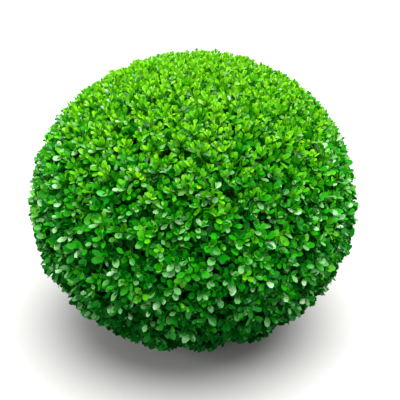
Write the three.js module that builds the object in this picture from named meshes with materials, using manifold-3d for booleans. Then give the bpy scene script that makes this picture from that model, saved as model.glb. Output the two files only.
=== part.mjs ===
// A clipped box ball, rooted in the ground: a short trunk with a root flare, boughs that fan out inside the
// ball, and one clipped mass of foliage on a hollow core. Millimetres, +Z up. The origin is on the ground,
// at the middle of the flat cut under the trunk.
import * as THREE from "three";
import { mergeVertices } from "three/addons/utils/BufferGeometryUtils.js";
import Module from "manifold-3d";

const wasm = await Module();
wasm.setup();

// The ball that the shears left
const BALL_RADIUS = 320; // half its width
const BALL_RISE = 286; // half its height, before the foot is cut level
const BALL_CENTRE = 280; // its widest level, above the ground
const SKIRT_HEIGHT = 12; // the lowest leaves end this far above the ground
const SHEAR_WAVE = 0.008; // how far hand shears stray from the true ball, as a share of its radius

// The leafy shell: its core, and the bare space inside it
const CORE_SHARE = 0.82; // the core's outer wall, as a share of the ball
const CORE_LUMP = 8; // how far that wall rises and falls
const CORE_FACETS = { around: 22, down: 13 };
const HOLLOW_SHARE = 0.7; // its inner wall
const HOLLOW_FACETS = { around: 14, down: 9 };
const MOUTH_RADIUS = 92; // the open foot that the trunk goes in through
const MOUTH_SIDES = 16;

// The trunk
const TRUNK_HEIGHT = 96;
const TRUNK_RADIUS = 23;
const TRUNK_TOP_RADIUS = 20;
const TRUNK_SIDES = 20;
const TRUNK_RINGS = 10;
const SHOULDER = 0.55; // the top ring's radius, as a share of the trunk's there
const FLARE = 15; // how far the root flare stands out at the ground
const FLARE_HEIGHT = 15;
const FLARE_LOBES = 5;
const FLARE_LOBE_DEPTH = 0.25;
const LEAN = new THREE.Vector2(0.05, -0.03); // sideways run for each millimetre of height

// The boughs: a leader, and side boughs that end high and low in turn
const SIDE_BOUGHS = 6;
const BOUGH_REACH = 0.42; // where the tips lie, as a share of the ball
const BOUGH_RADIUS = 8.5;
const LEADER_RADIUS = 9.5;
const BOUGH_TIP_RADIUS = 4.6;
const BOUGH_SIDES = 9;
const BOUGH_STEPS = 10;
const LEADER_FOOT = 82; // height of its foot, inside the trunk
const HIGH_BOUGH = { foot: 56, climb: 0.5 }; // height of its foot, and the sine of its tip's climb
const LOW_BOUGH = { foot: 42, climb: -0.36 };
const BOUGH_BEND = { out: 0.62, up: 0.3 }; // where a side bough bends upwards, as shares of its way
const BOUGH_BOW = 6; // how far a bough strays from its plain curve

// The twigs that carry the shell from inside
const STUB_LENGTH = 16; // the stub that goes on from each bough's tip
const FORK_LENGTH = 9; // how far along the stub its twigs part
const INNER_TWIGS = 24;
const INNER_LOWEST = -0.8; // the sine of the lowest one's end
const INNER_TWIG_RADIUS = 4;
const TWIG_BEND = 0.3;

// The sprigs that stand out of the shell
const SPRIGS = 114;
const SPRIG_LOWEST = -0.92;
const SPRIG_LENGTH = 34; // from the core to the twig's point
const SPRIG_RADIUS = 10; // at its foot, which is sunk in the core
const ROOT_DEPTH = 14; // how deep a twig's end is sunk
const SPRIG_SHIFT = 0.03; // how far a sprig strays from its even place
const SPRIG_LIFT = 0.3; // how much it turns up towards the light
const SPRIG_TILT = 0.12;
const SPRIG_SPREAD = 0.08; // how far its size strays
const SPRIG_TURNS = 8; // the turns that it tries, to find where its leaves have the most room
const TIP_REACH = 1.004; // how far out the leaves may end, as a share of the ball
const TIP_SPREAD = 0.006;
// The two pairs of leaves: how far above the core they leave the twig, and how far they open, in degrees
const PAIRS = [
  { height: 7.5, opening: 66 },
  { height: 15, opening: 48 },
];

// One leaf, which stands for several real ones of 15 to 20 mm
const LEAF_LENGTH = 60;
const LEAF_WIDTH = 45;
const LEAF_THICKNESS = 2.4;
const LEAF_CUP = 2; // how far its sides stand above its root and tip
const LEAF_WIDEST = 0.56; // where it is widest, as a share of its length
const LEAF_BLUNT = 0.5; // the width of its blunt tip, as a share of its own
const LEAF_END = 0.98;

const CLEARANCE = 0.3; // air between two pieces that meet
const SMALLEST_STEP = 0.05; // anything finer in the fused mass is smoothed away
const GOLDEN_ANGLE = Math.PI * (3 - Math.sqrt(5));
const CENTRE = new THREE.Vector3(0, 0, BALL_CENTRE);
const SEMI_AXES = new THREE.Vector3(BALL_RADIUS, BALL_RADIUS, BALL_RISE);
const UP = new THREE.Vector3(0, 0, 1);

// A number between -1 and 1 that looks random and is always the same for the same two whole numbers.
function scatter(index, kind) {
  const wave = 43758.5453 * Math.sin(12.9898 * index + 78.233 * kind);
  return 2 * (wave - Math.floor(wave)) - 1;
}

function scatterVector(index, kind) {
  return new THREE.Vector3(scatter(index, kind), scatter(index, kind + 1), scatter(index, kind + 2));
}

// The slow waves that hand shears leave in the ball, for a direction from its centre.
function shearing(d) {
  const across = Math.sin(5 * d.x + 2 * d.y + 0.7);
  const slanting = Math.sin(4 * d.y - 3 * d.z + 2.1);
  const rising = Math.sin(3 * d.x + 6 * d.z);
  return 1 + (SHEAR_WAVE * (across + slanting + rising)) / 2;
}

// The lumps of the core's wall, between -1 and 1.
function lumps(d) {
  return (Math.sin(11 * d.x + 3) + Math.sin(12 * d.y + 8 * d.z) + Math.sin(13 * d.z - 9 * d.x)) / 3;
}

// The point in a direction from the centre, at a share of the way to the clipped surface.
function pointAt(direction, share) {
  return direction.clone().multiply(SEMI_AXES).multiplyScalar(share * shearing(direction)).add(CENTRE);
}

// How far out a point lies: 1 on the clipped surface, less inside it.
function shareOf(point) {
  const scaled = point.clone().sub(CENTRE).divide(SEMI_AXES);
  return scaled.length() / shearing(scaled.clone().normalize());
}

// The i-th of n directions, spread evenly by the golden angle from the top down to a lowest level.
function evenDirection(i, n, lowest) {
  const z = 1 - ((i + 0.5) / n) * (1 - lowest);
  const across = Math.sqrt(1 - z * z);
  return new THREE.Vector3(across * Math.cos(i * GOLDEN_ANGLE), across * Math.sin(i * GOLDEN_ANGLE), z);
}

function solidOf(geometry) {
  const bare = geometry.clone();
  bare.deleteAttribute("normal");
  bare.deleteAttribute("uv");
  const merged = mergeVertices(bare, 1e-4);
  return new wasm.Manifold(
    new wasm.Mesh({
      numProp: 3,
      vertProperties: new Float32Array(merged.attributes.position.array),
      triVerts: new Uint32Array(merged.index.array),
    }),
  );
}

function geometryOf(solid) {
  const mesh = solid.getMesh();
  return new THREE.BufferGeometry()
    .setAttribute("position", new THREE.BufferAttribute(mesh.vertProperties, 3))
    .setIndex(new THREE.BufferAttribute(mesh.triVerts, 1))
    .toNonIndexed();
}

// Moves every vertex of a geometry to where a function of its old place puts it.
function reshape(geometry, place) {
  const position = geometry.attributes.position;
  const old = new THREE.Vector3();
  for (let i = 0; i < position.count; i++) {
    const moved = place(old.fromBufferAttribute(position, i));
    position.setXYZ(i, moved.x, moved.y, moved.z);
  }
  return geometry;
}

// The radius of a unit cylinder's vertex: 0 for the middle of a cap, which stays where it is.
function radiusFor(ring, radius) {
  return Math.hypot(ring.x, ring.z) < 0.5 ? 0 : radius;
}

// A round limb along a curve: pathAt(t) is its middle and radiusAt(t) its radius, t from 0 to 1.
function limb(pathAt, radiusAt, sides, steps) {
  const nudge = 0.01;
  const chord = pathAt(1).sub(pathAt(0)).normalize();
  const steep = Math.abs(chord.z) > 0.8;
  const reference = steep ? new THREE.Vector3(1, 0, 0) : UP;
  const place = (ring) => {
    const t = ring.y + 0.5;
    const along = pathAt(Math.min(1, t + nudge)).sub(pathAt(Math.max(0, t - nudge))).normalize();
    const side = reference.clone().addScaledVector(along, -reference.dot(along)).normalize();
    const other = side.clone().cross(along);
    const radius = radiusFor(ring, radiusAt(t));
    return pathAt(t).addScaledVector(side, ring.x * radius).addScaledVector(other, ring.z * radius);
  };
  return reshape(new THREE.CylinderGeometry(1, 1, 1, sides, steps), place);
}

function trunkPath(t) {
  const height = t * TRUNK_HEIGHT;
  return new THREE.Vector3(LEAN.x * height, LEAN.y * height, height);
}

// The trunk, or with extra the space round it that its boughs keep clear. Its rings stay level, so that the
// cut at the ground is flat.
function trunk(extra) {
  const radiusAt = (t, angle) => {
    const taper = THREE.MathUtils.lerp(TRUNK_RADIUS, TRUNK_TOP_RADIUS, t);
    const lobes = 1 - FLARE_LOBE_DEPTH * (1 - Math.cos(FLARE_LOBES * angle + 0.6));
    const flare = FLARE * lobes * Math.exp((-t * TRUNK_HEIGHT) / FLARE_HEIGHT);
    return taper * (t === 1 ? SHOULDER : 1) + flare + extra;
  };
  const place = (ring) => {
    const t = ring.y + 0.5;
    const radius = radiusFor(ring, radiusAt(t, Math.atan2(ring.x, ring.z)));
    return trunkPath(t).add(new THREE.Vector3(ring.z * radius, ring.x * radius, t === 1 ? extra : 0));
  };
  return reshape(new THREE.CylinderGeometry(1, 1, 1, TRUNK_SIDES, TRUNK_RINGS), place);
}

// The leader's middle line: it snakes a little on its way up.
function leaderPath() {
  const foot = trunkPath(LEADER_FOOT / TRUNK_HEIGHT);
  const tip = pointAt(UP, BOUGH_REACH);
  const sideways = new THREE.Vector3(1, -0.6, 0);
  return (t) => foot.clone().lerp(tip, t).addScaledVector(sideways, BOUGH_BOW * Math.sin(1.6 * Math.PI * t));
}

// The middle line of side bough i: out from the trunk's middle, then up or down to its tip.
function sideBoughPath(i) {
  const kind = i % 2 ? HIGH_BOUGH : LOW_BOUGH;
  const turn = ((i + 0.12 * scatter(i, 1)) / SIDE_BOUGHS) * 2 * Math.PI;
  const across = Math.sqrt(1 - kind.climb ** 2);
  const heading = new THREE.Vector3(across * Math.cos(turn), across * Math.sin(turn), kind.climb);
  const foot = trunkPath(kind.foot / TRUNK_HEIGHT);
  const tip = pointAt(heading, BOUGH_REACH);
  const bend = foot.clone().lerp(tip, BOUGH_BEND.out);
  bend.z = THREE.MathUtils.lerp(foot.z, tip.z, BOUGH_BEND.up);
  const curve = new THREE.QuadraticBezierCurve3(foot, bend, tip);
  const sideways = new THREE.Vector3(-Math.sin(turn), Math.cos(turn), 0);
  const bow = BOUGH_BOW * scatter(i, 2);
  return (t) => curve.getPoint(t).addScaledVector(sideways, bow * Math.sin(2 * Math.PI * t));
}

// Bough 0 is the leader.
function boughPath(i) {
  return i === 0 ? leaderPath() : sideBoughPath(i);
}

function bough(i) {
  const start = i === 0 ? LEADER_RADIUS : BOUGH_RADIUS;
  const radiusAt = (t) => THREE.MathUtils.lerp(start, BOUGH_TIP_RADIUS, t ** 0.8);
  return limb(boughPath(i), radiusAt, BOUGH_SIDES, BOUGH_STEPS);
}

// One blunt leaf of eight faces, from its root at the origin out along +X, its upper side towards +Z.
function leafGeometry() {
  const widest = LEAF_WIDEST * LEAF_LENGTH;
  const end = LEAF_END * LEAF_LENGTH;
  const half = LEAF_WIDTH / 2;
  const corners = [
    [0, 0, 0],
    [widest, -half, LEAF_CUP],
    [end, -half * LEAF_BLUNT, 0],
    [end, half * LEAF_BLUNT, 0],
    [widest, half, LEAF_CUP],
    [widest, 0, LEAF_CUP - LEAF_THICKNESS],
  ];
  const keel = corners.length - 1;
  const faces = [0, 1, 4, 1, 2, 3, 1, 3, 4];
  for (let i = 0; i < keel; i++) faces.push((i + 1) % keel, i, keel);
  return new THREE.BufferGeometry()
    .setAttribute("position", new THREE.BufferAttribute(new Float32Array(corners.flat()), 3))
    .setIndex(faces);
}

// A sprig on the core at the origin, its pointed twig up along +Z: two pairs of opposite leaves, crossed.
function sprigPieces() {
  const twig = new THREE.ConeGeometry(SPRIG_RADIUS, SPRIG_LENGTH + ROOT_DEPTH, 4)
    .rotateY(Math.PI / 4)
    .rotateX(Math.PI / 2)
    .translate(0, 0, (SPRIG_LENGTH - ROOT_DEPTH) / 2);
  const leaves = PAIRS.flatMap((pair, level) =>
    [0, 1].map((side) =>
      leafGeometry()
        .rotateY(THREE.MathUtils.degToRad(pair.opening - 90))
        .translate(0, 0, pair.height)
        .rotateZ((level / 2 + side) * Math.PI),
    ),
  );
  return [twig, ...leaves];
}

function cornersOf(geometry) {
  const position = geometry.attributes.position;
  const cornerAt = (_, i) => new THREE.Vector3().fromBufferAttribute(position, i);
  return Array.from({ length: position.count }, cornerAt);
}

// How far back along its axis a sprig has to move to lie inside the clipped surface and above the skirt.
function setBack(corners, axis, limit) {
  for (let back = 0; back <= SPRIG_LENGTH; back++) {
    const fits = (corner) => {
      const moved = corner.clone().addScaledVector(axis, -back);
      return shareOf(moved) <= limit && moved.z >= SKIRT_HEIGHT;
    };
    if (corners.every(fits)) return back;
  }
  return Infinity;
}

// Which way sprig i grows: out from the clipped surface, and a little up.
function sprigAxis(i, direction) {
  const outward = direction.clone().divide(SEMI_AXES).normalize();
  const lift = SPRIG_LIFT * Math.sqrt(1 + direction.z);
  return outward.addScaledVector(UP, lift).addScaledVector(scatterVector(i, 6), SPRIG_TILT).normalize();
}

// The pieces of sprig i, turned to where its leaves have the most room among those that are taken.
// One that would leave the ball's space is left out.
function seatedSprig(i, taken) {
  const direction = evenDirection(i, SPRIGS, SPRIG_LOWEST);
  direction.addScaledVector(scatterVector(i, 3), SPRIG_SHIFT).normalize();
  const axis = sprigAxis(i, direction);
  const level = new THREE.Vector3(1, 0, 0).cross(axis).normalize();
  const size = 1 + SPRIG_SPREAD * scatter(i, 10);
  const limit = TIP_REACH + TIP_SPREAD * scatter(i, 11);
  let best = { room: -1, pieces: [], middles: [] };
  for (let turn = 0; turn < SPRIG_TURNS; turn++) {
    const spin = (Math.PI / SPRIG_TURNS) * (turn + 0.5 * scatter(i, 9));
    const outward = level.clone().applyAxisAngle(axis, spin);
    const frame = new THREE.Matrix4().makeBasis(outward, axis.clone().cross(outward), axis);
    frame.scale(new THREE.Vector3(size, size, size)).setPosition(pointAt(direction, CORE_SHARE));
    const pieces = sprigPieces().map((piece) => piece.applyMatrix4(frame));
    const leaves = pieces.slice(1).map(cornersOf);
    const back = setBack(leaves.flat(), axis, limit);
    if (back === Infinity) continue;
    const shift = axis.clone().multiplyScalar(-back);
    const middles = leaves.map((corners) => corners.at(-1).add(shift));
    const nearest = (middle) => Math.min(LEAF_LENGTH, ...taken.map((other) => middle.distanceTo(other)));
    const room = middles.map(nearest).reduce((a, b) => a + b);
    if (room <= best.room) continue;
    best = { room, pieces: pieces.map((piece) => piece.translate(shift.x, shift.y, shift.z)), middles };
  }
  taken.push(...best.middles);
  return best.pieces;
}

// A closed wall round the ball's centre, at a share of the way out.
function wall(share, facets, lump) {
  const ball = new THREE.SphereGeometry(1, facets.around, facets.down).rotateX(Math.PI / 2);
  const place = (point) => {
    const direction = point.clone().normalize();
    return pointAt(direction, share).addScaledVector(direction, lump * lumps(direction));
  };
  return solidOf(reshape(ball, place));
}

function shellCore() {
  const mouth = new THREE.CylinderGeometry(MOUTH_RADIUS, MOUTH_RADIUS, BALL_CENTRE, MOUTH_SIDES);
  return wall(CORE_SHARE, CORE_FACETS, CORE_LUMP)
    .subtract(wall(HOLLOW_SHARE, HOLLOW_FACETS, 0))
    .subtract(solidOf(mouth.rotateX(Math.PI / 2)));
}

// The twigs that carry the shell: from a short stub on each bough's tip to the shell's inner wall.
function innerTwigs() {
  const tips = [];
  const pieces = [];
  for (let i = 0; i <= SIDE_BOUGHS; i++) {
    const path = boughPath(i);
    const tip = path(1);
    const heading = tip.clone().sub(path(0.98)).normalize();
    const ahead = (distance) => tip.clone().addScaledVector(heading, distance);
    const stub = new THREE.LineCurve3(ahead(CLEARANCE), ahead(STUB_LENGTH));
    pieces.push(limb((t) => stub.getPoint(t), () => BOUGH_TIP_RADIUS, 6, 1));
    tips.push({ heading, fork: ahead(FORK_LENGTH) });
  }
  for (let i = 0; i < INNER_TWIGS; i++) {
    const direction = evenDirection(i, INNER_TWIGS, INNER_LOWEST);
    const end = pointAt(direction, HOLLOW_SHARE).addScaledVector(direction, ROOT_DEPTH);
    const parent = tips.reduce((a, b) => (a.fork.distanceTo(end) < b.fork.distanceTo(end) ? a : b));
    const lead = TWIG_BEND * parent.fork.distanceTo(end);
    const bend = parent.fork.clone().addScaledVector(parent.heading, lead).lerp(end, TWIG_BEND);
    const curve = new THREE.QuadraticBezierCurve3(parent.fork, bend, end);
    pieces.push(limb((t) => curve.getPoint(t), (t) => INNER_TWIG_RADIUS * (1 - t / 3), 3, 2));
  }
  return pieces;
}

// The whole mass fused to one closed body. A loose scrap or a hollow that the fusing seals is left out.
function foliage() {
  const pieces = innerTwigs();
  const taken = [];
  for (let i = 0; i < SPRIGS; i++) pieces.push(...seatedSprig(i, taken));
  const fused = wasm.Manifold.union([shellCore(), ...pieces.map(solidOf)]);
  const bodies = fused.asOriginal().simplify(SMALLEST_STEP).decompose();
  return bodies.reduce((a, b) => (a.volume() > b.volume() ? a : b));
}

const bark = new THREE.MeshStandardMaterial({ color: 0x8a7b62, roughness: 0.9, metalness: 0 });
const leafGreen = new THREE.MeshStandardMaterial({ color: 0x3c8c1d, roughness: 0.42, metalness: 0 });

const group = new THREE.Group();

function addNode(name, geometry, material) {
  geometry.computeVertexNormals();
  const mesh = new THREE.Mesh(geometry, material);
  mesh.name = name;
  group.add(mesh);
}

addNode("trunk", trunk(0), bark);
const trunkSpace = solidOf(trunk(CLEARANCE));
for (let i = 0; i <= SIDE_BOUGHS; i++) {
  const name = i === 0 ? "leader_bough" : `side_bough_${i}`;
  addNode(name, geometryOf(solidOf(bough(i)).subtract(trunkSpace)), bark);
}
addNode("clipped_foliage", geometryOf(foliage()), leafGreen);

export default group;
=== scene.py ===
"""Box topiary ball: a clipped box shrub on a short stem, laid out as an add-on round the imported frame.

Lengths are metres and +Z is up. The bark limbs follow the frame's solids. Twigs, shoots and leaves grow on
from them by the same rule, carried finer, and all end within a few millimetres of the same clipped ball.
"""

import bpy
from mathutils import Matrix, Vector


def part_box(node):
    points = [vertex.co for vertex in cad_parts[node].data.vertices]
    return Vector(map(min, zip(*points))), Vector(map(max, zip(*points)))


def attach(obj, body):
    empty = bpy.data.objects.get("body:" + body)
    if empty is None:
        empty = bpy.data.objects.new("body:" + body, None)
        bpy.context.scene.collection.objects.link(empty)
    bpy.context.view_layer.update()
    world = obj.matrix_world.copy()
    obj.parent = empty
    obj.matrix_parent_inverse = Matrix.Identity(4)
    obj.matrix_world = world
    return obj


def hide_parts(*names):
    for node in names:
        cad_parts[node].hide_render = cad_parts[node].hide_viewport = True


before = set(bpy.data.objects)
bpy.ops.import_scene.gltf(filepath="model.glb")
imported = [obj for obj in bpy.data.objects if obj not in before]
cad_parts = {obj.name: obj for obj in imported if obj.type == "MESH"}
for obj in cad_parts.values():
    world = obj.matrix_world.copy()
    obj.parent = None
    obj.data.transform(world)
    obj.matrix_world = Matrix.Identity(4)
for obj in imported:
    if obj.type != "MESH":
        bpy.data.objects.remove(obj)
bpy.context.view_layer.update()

import math
from functools import partial

import bpy
import numpy as np
from bpy.props import FloatProperty, FloatVectorProperty, IntProperty, PointerProperty
from mathutils import Vector, kdtree, noise

bl_info = {
    "name": "Box topiary ball",
    "version": (1, 0, 0),
    "blender": (4, 5, 0),
    "location": "3D View > Sidebar > Topiary",
    "description": "Grows a clipped box ball: bark limbs, twigs, leafy shoots and its studio stage",
    "category": "Add Mesh",
}

BODY = "root"
FOLIAGE_NODE = "clipped_foliage"
LIMB_NODES = sorted(set(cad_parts) - {FOLIAGE_NODE})
LARGEST_PIECE = 190_000  # triangles
UP = np.array((0.0, 0.0, 1.0))
X_AXIS = np.array((1.0, 0.0, 0.0))
GOLDEN_ANGLE = math.pi * (3 - math.sqrt(5))

# Which draw of the scatter each trait takes. A vector takes three in a row.
DRAWS = {
    "leaf_turn": 1, "leaf_opening": 2, "leaf_roll": 3, "leaf_length": 4, "leaf_slimness": 5, "leaf_lax": 6,
    "bough_turn": 1, "bough_bow": 2, "tuft_place": 3, "shoot_axis": 6, "shoot_reach": 11, "twig_fork": 12,
    "tuft_depth": 13, "shoot_place": 14, "shoot_kept": 17, "shoot_tilt": 23, "valley": 27, "shoot_length": 28,
    "shoot_spin": 29, "old_spin": 30, "tuft_tone": 31, "shoot_tone": 32, "leaf_tone": 33, "leaf_painted_sheen": 34,
    "tuft_short": 36, "shoot_short": 37,
}

# The trunk and boughs, beyond what the settings hold
TRUNK_SHOULDER = 0.55  # the top ring's radius, as a share of the trunk's there
FLARE_LOBES = 5
FLARE_LOBE_DEPTH = 0.25
FLARE_TURN = 0.6
SIDE_BOUGHS = 6
BOUGH_STRAY = 0.12  # how far a side bough turns from its even place, over the space between two
LEADER_FOOT = 0.082
LEADER_SWAY = (1.0, -0.6, 0.0)
LEADER_SWAY_TURN = 1.6 * math.pi
HIGH_BOUGH = {"foot": 0.056, "climb": 0.5}
LOW_BOUGH = {"foot": 0.042, "climb": -0.36}
BOUGH_BEND = {"out": 0.62, "up": 0.3}
BOUGH_TAPER = 0.8  # below 1, a bough thins fastest near its foot
BOUGH_STEPS = 60
TRUNK_RINGS = 48
TRUNK_SIDES = 64
BOUGH_SIDES = 24
UPRIGHT = 0.8  # rings round a limb that starts steeper than this are lined up with the x axis

# The bark: the plates' size, how far the splits wander and how wide they are, both as shares of a plate
PLATE_WIDTH = 0.0045
PLATE_LENGTH = 0.013
PLATE_SLANT = 0.3
SPLIT_WANDER = 0.12
WANDERS_PER_PLATE = 3
SPLIT_WIDTH = 0.34
THIN_LIMB_SPLITS = 0.3  # how deep the splits of the thinnest limbs are, over the trunk's

# How each order of twigs grows: its lowest level, how far out it ends, how far back along its parent it may
# fork, and its form: the tip's radius over the foot's, then the sides and steps of its mesh
BOUGH_TIP = (0.98, 1.0)  # the last stretch of a bough, which its stub goes on from
STUB_FORM = (0.9, 8, 4)
INNER = {"lowest": -0.8, "end": 0.70, "form": (2 / 3, 7, 12)}
BRANCHLETS = {"lowest": -0.9, "end": 0.82, "fork": 0.55, "form": (0.7, 6, 8)}
TUFTS = {"lowest": -0.95, "end": 0.895, "fork": 0.45, "form": (0.7, 4, 4)}
SHOOT_FORM = (0.6, 3, 4)
TUFT_END_STRAY = 0.015
TUFT_SHIFT = 0.025  # how far a tuft strays from its even place
TWIG_BEND = 0.3  # how far a twig keeps its parent's direction, as a share of its run

# Where the leafy shoots stand and how they grow
SHOOT_SHIFT = 0.016  # how far a shoot strays from its even place
SHOOT_TILT = 0.12
SHOOT_BEND = 0.5
FLANK_SHOOTS = 0.74  # the share of the shoots that grow away from the very top
CROWN_FOOT = 0.2
CROWN_TOP = 0.85
CROWN_EASE = 1.5  # how slowly the leaves shrink and crowd towards the crown
AXIS_LIFT = 0.3  # how much a sprig turns up towards the light
AXIS_TILT = 0.12
TUFT_EDGE = 1.2  # a shoot further than this from its tuft's middle, in spreads, falls back no more
VALLEY_STRAY = 0.25

# How far out the outermost leaf of a shoot ends, over the clipped surface, and how its tip is moved there
REACH = 1.008  # just proud of the surface, as shears leave it
REACH_SPREAD = 0.003
FIRST_TIP = 0.95
SETTLING_ROUNDS = 4  # each moves the tip by what its outermost leaf still misses
LEAST_FACING = 0.5
SHORTEST_SHOOT = 0.024
# Where the shears left the ball fuller or leaner: towards which side, and by how much of the ball
UNEVEN_SIDES = (
    ((0.766, 0.292, 0.573), 0.014),
    ((-0.342, 0.427, 0.837), 0.007),
    ((0.906, -0.192, -0.377), -0.010),
    ((-0.500, -0.393, -0.772), -0.010),
)
UNEVEN_FOCUS = 3
# The ragged foot: the level that it starts at, how much lower it is ragged in full, how deep its notches are,
# and the waves round the ball that make them, each with its strength, count and start
FOOT_LEVEL = -0.45
FOOT_FADE = 0.35
FOOT_NOTCH = 0.05
FOOT_WAVES = ((1, 14, 0.4), (0.7, 23, 2.0), (1, 3, 5.02))
FOOT_WAVE_RAISE = 0.36
FOOT_WAVE_CAP = 1.5

# One leaf: how far along each row of three points lies, and how wide a low leaf and a top leaf are there. Low
# leaves are oval, and those of the crown are widest near their blunt tips.
LEAF_ROWS = ((0.22, 0.58, 0.44), (0.54, 1.0, 0.90), (0.85, 0.68, 0.88))
# The pairs of leaves down a shoot, from its tip: how far back each stands, its size, and how far it opens
PAIR_BACKS = (0.0004, 0.0045, 0.0110, 0.0190)
ON_TOP = {"sizes": (0.66, 0.90, 1.0, 1.0), "openings": (14, 26, 38, 52)}
LOW_DOWN = {"sizes": (0.34, 0.92, 1.0, 0.95), "openings": (32, 58, 70, 78)}
FOOT_GROWTH = 0.24  # how much longer the lowest leaves are than those half-way up
LENGTH_STRAY = {"low": 0.26, "top": 0.14}  # how far the leaves of whole shoots differ in length
# How far single leaves differ: the turn in radians, the opening and roll in degrees, the others as shares
LEAF_STRAY = {"turn": 0.22, "opening": 9, "roll": 16, "length": 0.1, "slimness": 0.08}
LAX_FROM = 0.86  # the few leaves whose scatter is above this hang open by some degrees more
LAX_OPENING = 32
LEVEL_STEM = 0.9  # leaves on a stem that runs along x more than this are turned from the y axis

# The old leaves further in: where they stand along their twigs, and their length over a low leaf's
OLD_ON_TUFTS = {"places": (0.12, 0.26, 0.40, 0.54, 0.68, 0.82, 0.96), "growth": 1.2}
OLD_ON_BRANCHLETS = {
    "places": (0.10, 0.17, 0.24, 0.31, 0.38, 0.45, 0.52, 0.59, 0.66, 0.73, 0.80, 0.87, 0.94, 1.0),
    "growth": 1.7,
}
OLD_ON_INNER = {"places": (0.50, 0.56, 0.62, 0.68, 0.74, 0.80, 0.86, 0.92, 0.98), "growth": 2.0}
OLD_OPENING = 66
OLD_SLIMNESS = 1.3
OLD_PAINTED_LIGHT_HEIGHTS = (0.28, 0.44, 0.49)  # above each, the old leaves take the next, lighter finish: painted light high in the ball, painted shade low down

# Each finish of the leaves: its colour, its roughness, and how strong its gloss is. Leaves that don't face
# the sky are duller, so the pale floor doesn't wash their green out.
LEAF_FINISHES = {
    "deep": ("deep", 0.42, 0.04),
    "mature": ("mature", 0.40, 0.06),
    "bright": ("bright", 0.38, 0.10),
    "fresh": ("fresh", 0.25, 0.28),
    "lime": ("lime", 0.25, 0.40),
    # the pale finish paints the sky's reflection as a lighter green on leaves that face up
    "pale": ("pale", 0.26, 0.75),
    "mature_waxed": ("mature", 0.22, 0.26),
    "bright_waxed": ("bright", 0.22, 0.26),
}
FINISH_ORDER = list(LEAF_FINISHES)
PAINTED_SHEEN_FINISH = FINISH_ORDER.index("pale")
DULL_FINISHES = [FINISH_ORDER.index("mature"), FINISH_ORDER.index("bright")]
WAXED_STEP = FINISH_ORDER.index("mature_waxed") - FINISH_ORDER.index("mature")
WAXED_FACE_LEVEL = 0.25  # a mature or bright leaf that faces up more than this shows its wax
PAINTED_SHEEN_FACE_LEVELS = (0.55, 0.86)  # facing up this much, the first leaves take the pale finish, a painted sky reflection, then their full share
FOOT_PAINTED_SHEEN = 2.0  # how many more of the leaves get that painted sheen low down, by their level, up to a cap
FOOT_PAINTED_SHEEN_CAP = 0.5

# How young a leaf looks, which gives its colour: what it is half-way up, and what adds to it or takes from
# it. Partly it is painted light and shade: leaves are lighter towards the top and darker at the foot.
YOUTH = 0.435
YOUTH_AND_LIGHT_BY_LEVEL = 0.26
YOUTH_AND_LIGHT_AT_ENDS = 0.30  # by the level's square, so mostly near the top and the foot
AGE_AND_SHADE_ASIDE = 0.08  # how much darker a shoot is for each spread from its tuft's middle, where it stands back in a valley: partly older growth, partly painted shade
SUNNY_SIDE_PAINTED_LIGHT = 0.09  # how much lighter the leaves are on the side that has the sun, towards +X: painted light
OPEN_SIDE_PAINTED_LIGHT = 0.06  # and on the side across from it, which a side lamp lights: painted light too
FOOT_AGE_AND_SHADE = 0.50  # how much darker they are by how far below the next level they are, up to a cap: partly older leaves, partly painted shade
FOOT_AGE_AND_SHADE_LEVEL = -0.1
FOOT_AGE_AND_SHADE_CAP = 0.2
TUFT_TONES = 0.12  # how far whole tufts, whole shoots and single leaves differ
SHOOT_TONES = 0.34
LEAF_TONES = 0.06
PAIR_AGE = 0.10  # how much older each next pair down a shoot looks
TIP_YOUTH = 0.12  # how much younger than its shoot the pair at its tip looks
CROWN_CALM = {"shoots": 0.5, "pairs": 0.25}  # how much less whole shoots and pairs differ on the crown
YOUTH_CAP = {"low": 0.66, "top": 1.5}  # the youngest that a leaf may look, low down and on the crown
YOUTH_CAP_EASE = 3
FINISH_YOUTHS = (0.05, 0.30, 0.52, 0.72)  # above each, a leaf takes the next finish, deep being the first

# The fine relief of each surface: its spacing and depth in metres, its detail, and how strong it is
LEAF_PUCKERS = {"spacing": 0.0025, "depth": 0.0004, "detail": 2.0, "strength": 0.35}
TWIG_STREAKS = {"spacing": 0.0015, "depth": 0.0003, "detail": 1.0, "strength": 0.4}
BARK_GRIT = {"spacing": 0.0011, "depth": 0.0006, "detail": 3.0, "strength": 0.6}
FLOOR_GRAIN = {"spacing": 0.004, "depth": 0.0002, "detail": 2.0, "strength": 0.1}
PLATE_TONES = {"spacing": 0.009, "detail": 4.0, "darkest": 0.72, "lightest": 1.25}
WAX_IOR = 1.47
WOOD_IOR = 1.5

# The studio: where each lamp stands, how wide it is, and its power over the fill light's
LAMPS = {
    "left_light": ((-2.2, -1.2, 1.3), 1.0, 1.6),
    "right_light": ((2.2, -1.2, 1.3), 1.0, 0.3),
    "back_light": ((-0.2, 2.3, 1.6), 1.2, 0.4),
}
KEY_PLACE = (0.3, -0.3, 2.6)
FLOOR_SIDES = 48
FLOOR_RINGS = 12
FLOOR_GAP = 0.0005  # so the floor doesn't fight with the flat cut under the trunk
WHITE = (1.0, 1.0, 1.0, 1.0)


def linear(hex_colour):
    """An sRGB hex value as linear red, green and blue."""
    parts = [((hex_colour >> shift) & 255) / 255 for shift in (16, 8, 0)]
    return tuple(p / 12.92 if p <= 0.04045 else ((p + 0.055) / 1.055) ** 2.4 for p in parts)


# Settings

def setting(name, description, default, kind=FloatProperty, **more):
    return kind(name=name, description=description, default=default, **more)


def angle(name, description, degrees):
    return setting(name, description, math.radians(degrees), subtype="ANGLE")


def colour(name, description, hex_colour):
    default = linear(hex_colour)
    return setting(name, description, default, FloatVectorProperty, size=3, min=0, max=1, subtype="COLOR")


length = partial(setting, min=0, precision=4, unit="LENGTH")
share = partial(setting, min=0, max=1, precision=3, subtype="FACTOR")
number = partial(setting, kind=IntProperty, min=1)


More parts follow.
